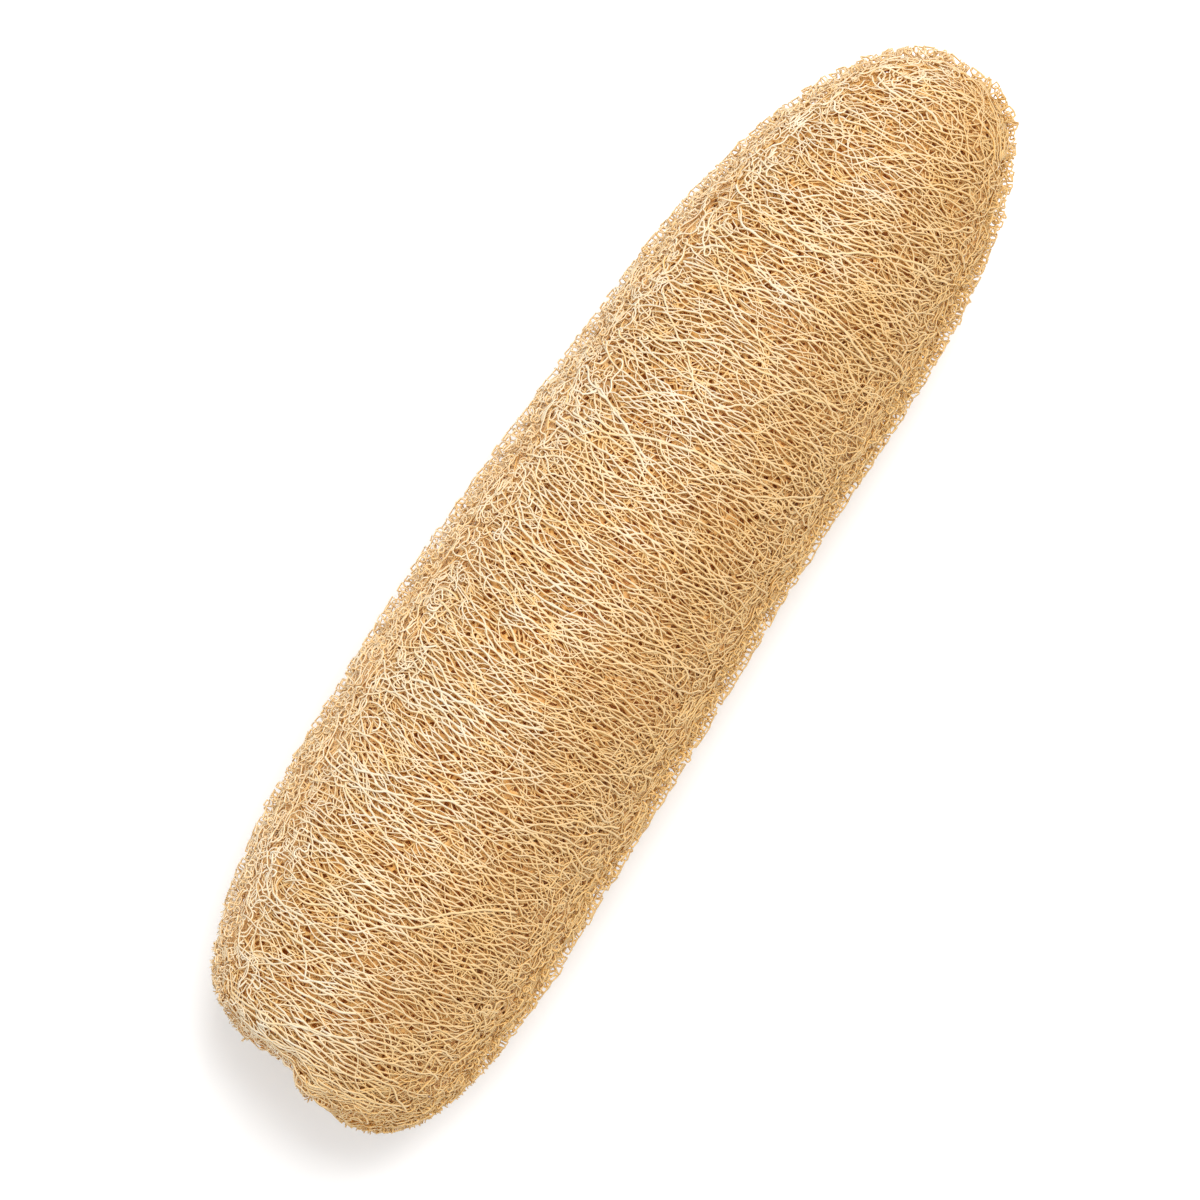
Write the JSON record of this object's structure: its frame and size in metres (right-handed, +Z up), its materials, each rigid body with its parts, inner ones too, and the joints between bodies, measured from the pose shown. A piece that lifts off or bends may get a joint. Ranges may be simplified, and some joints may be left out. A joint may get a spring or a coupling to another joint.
{
  "type": "natural loofah sponge",
  "caption": "Whole natural loofah: the dried fibre skeleton of a gourd, long, rounded at the crown and cut blunt at the foot, netted all over, lying on its side; for scrubbing.",
  "frame": {"origin": "on the surface the sponge lies on, under the middle of its bounding box", "axes": "+X along the sponge from the cut foot to the round crown, +Z up, +Y to the side the middle bows towards"},
  "size_m": [0.31, 0.0868, 0.0801],
  "materials": {
    "fibre": "dry, matt plant fibre, straw-coloured with paler crests and browner pits"
  },
  "bodies": {
    "root": {"loofah": "fibre"}
  },
  "joints": []
}
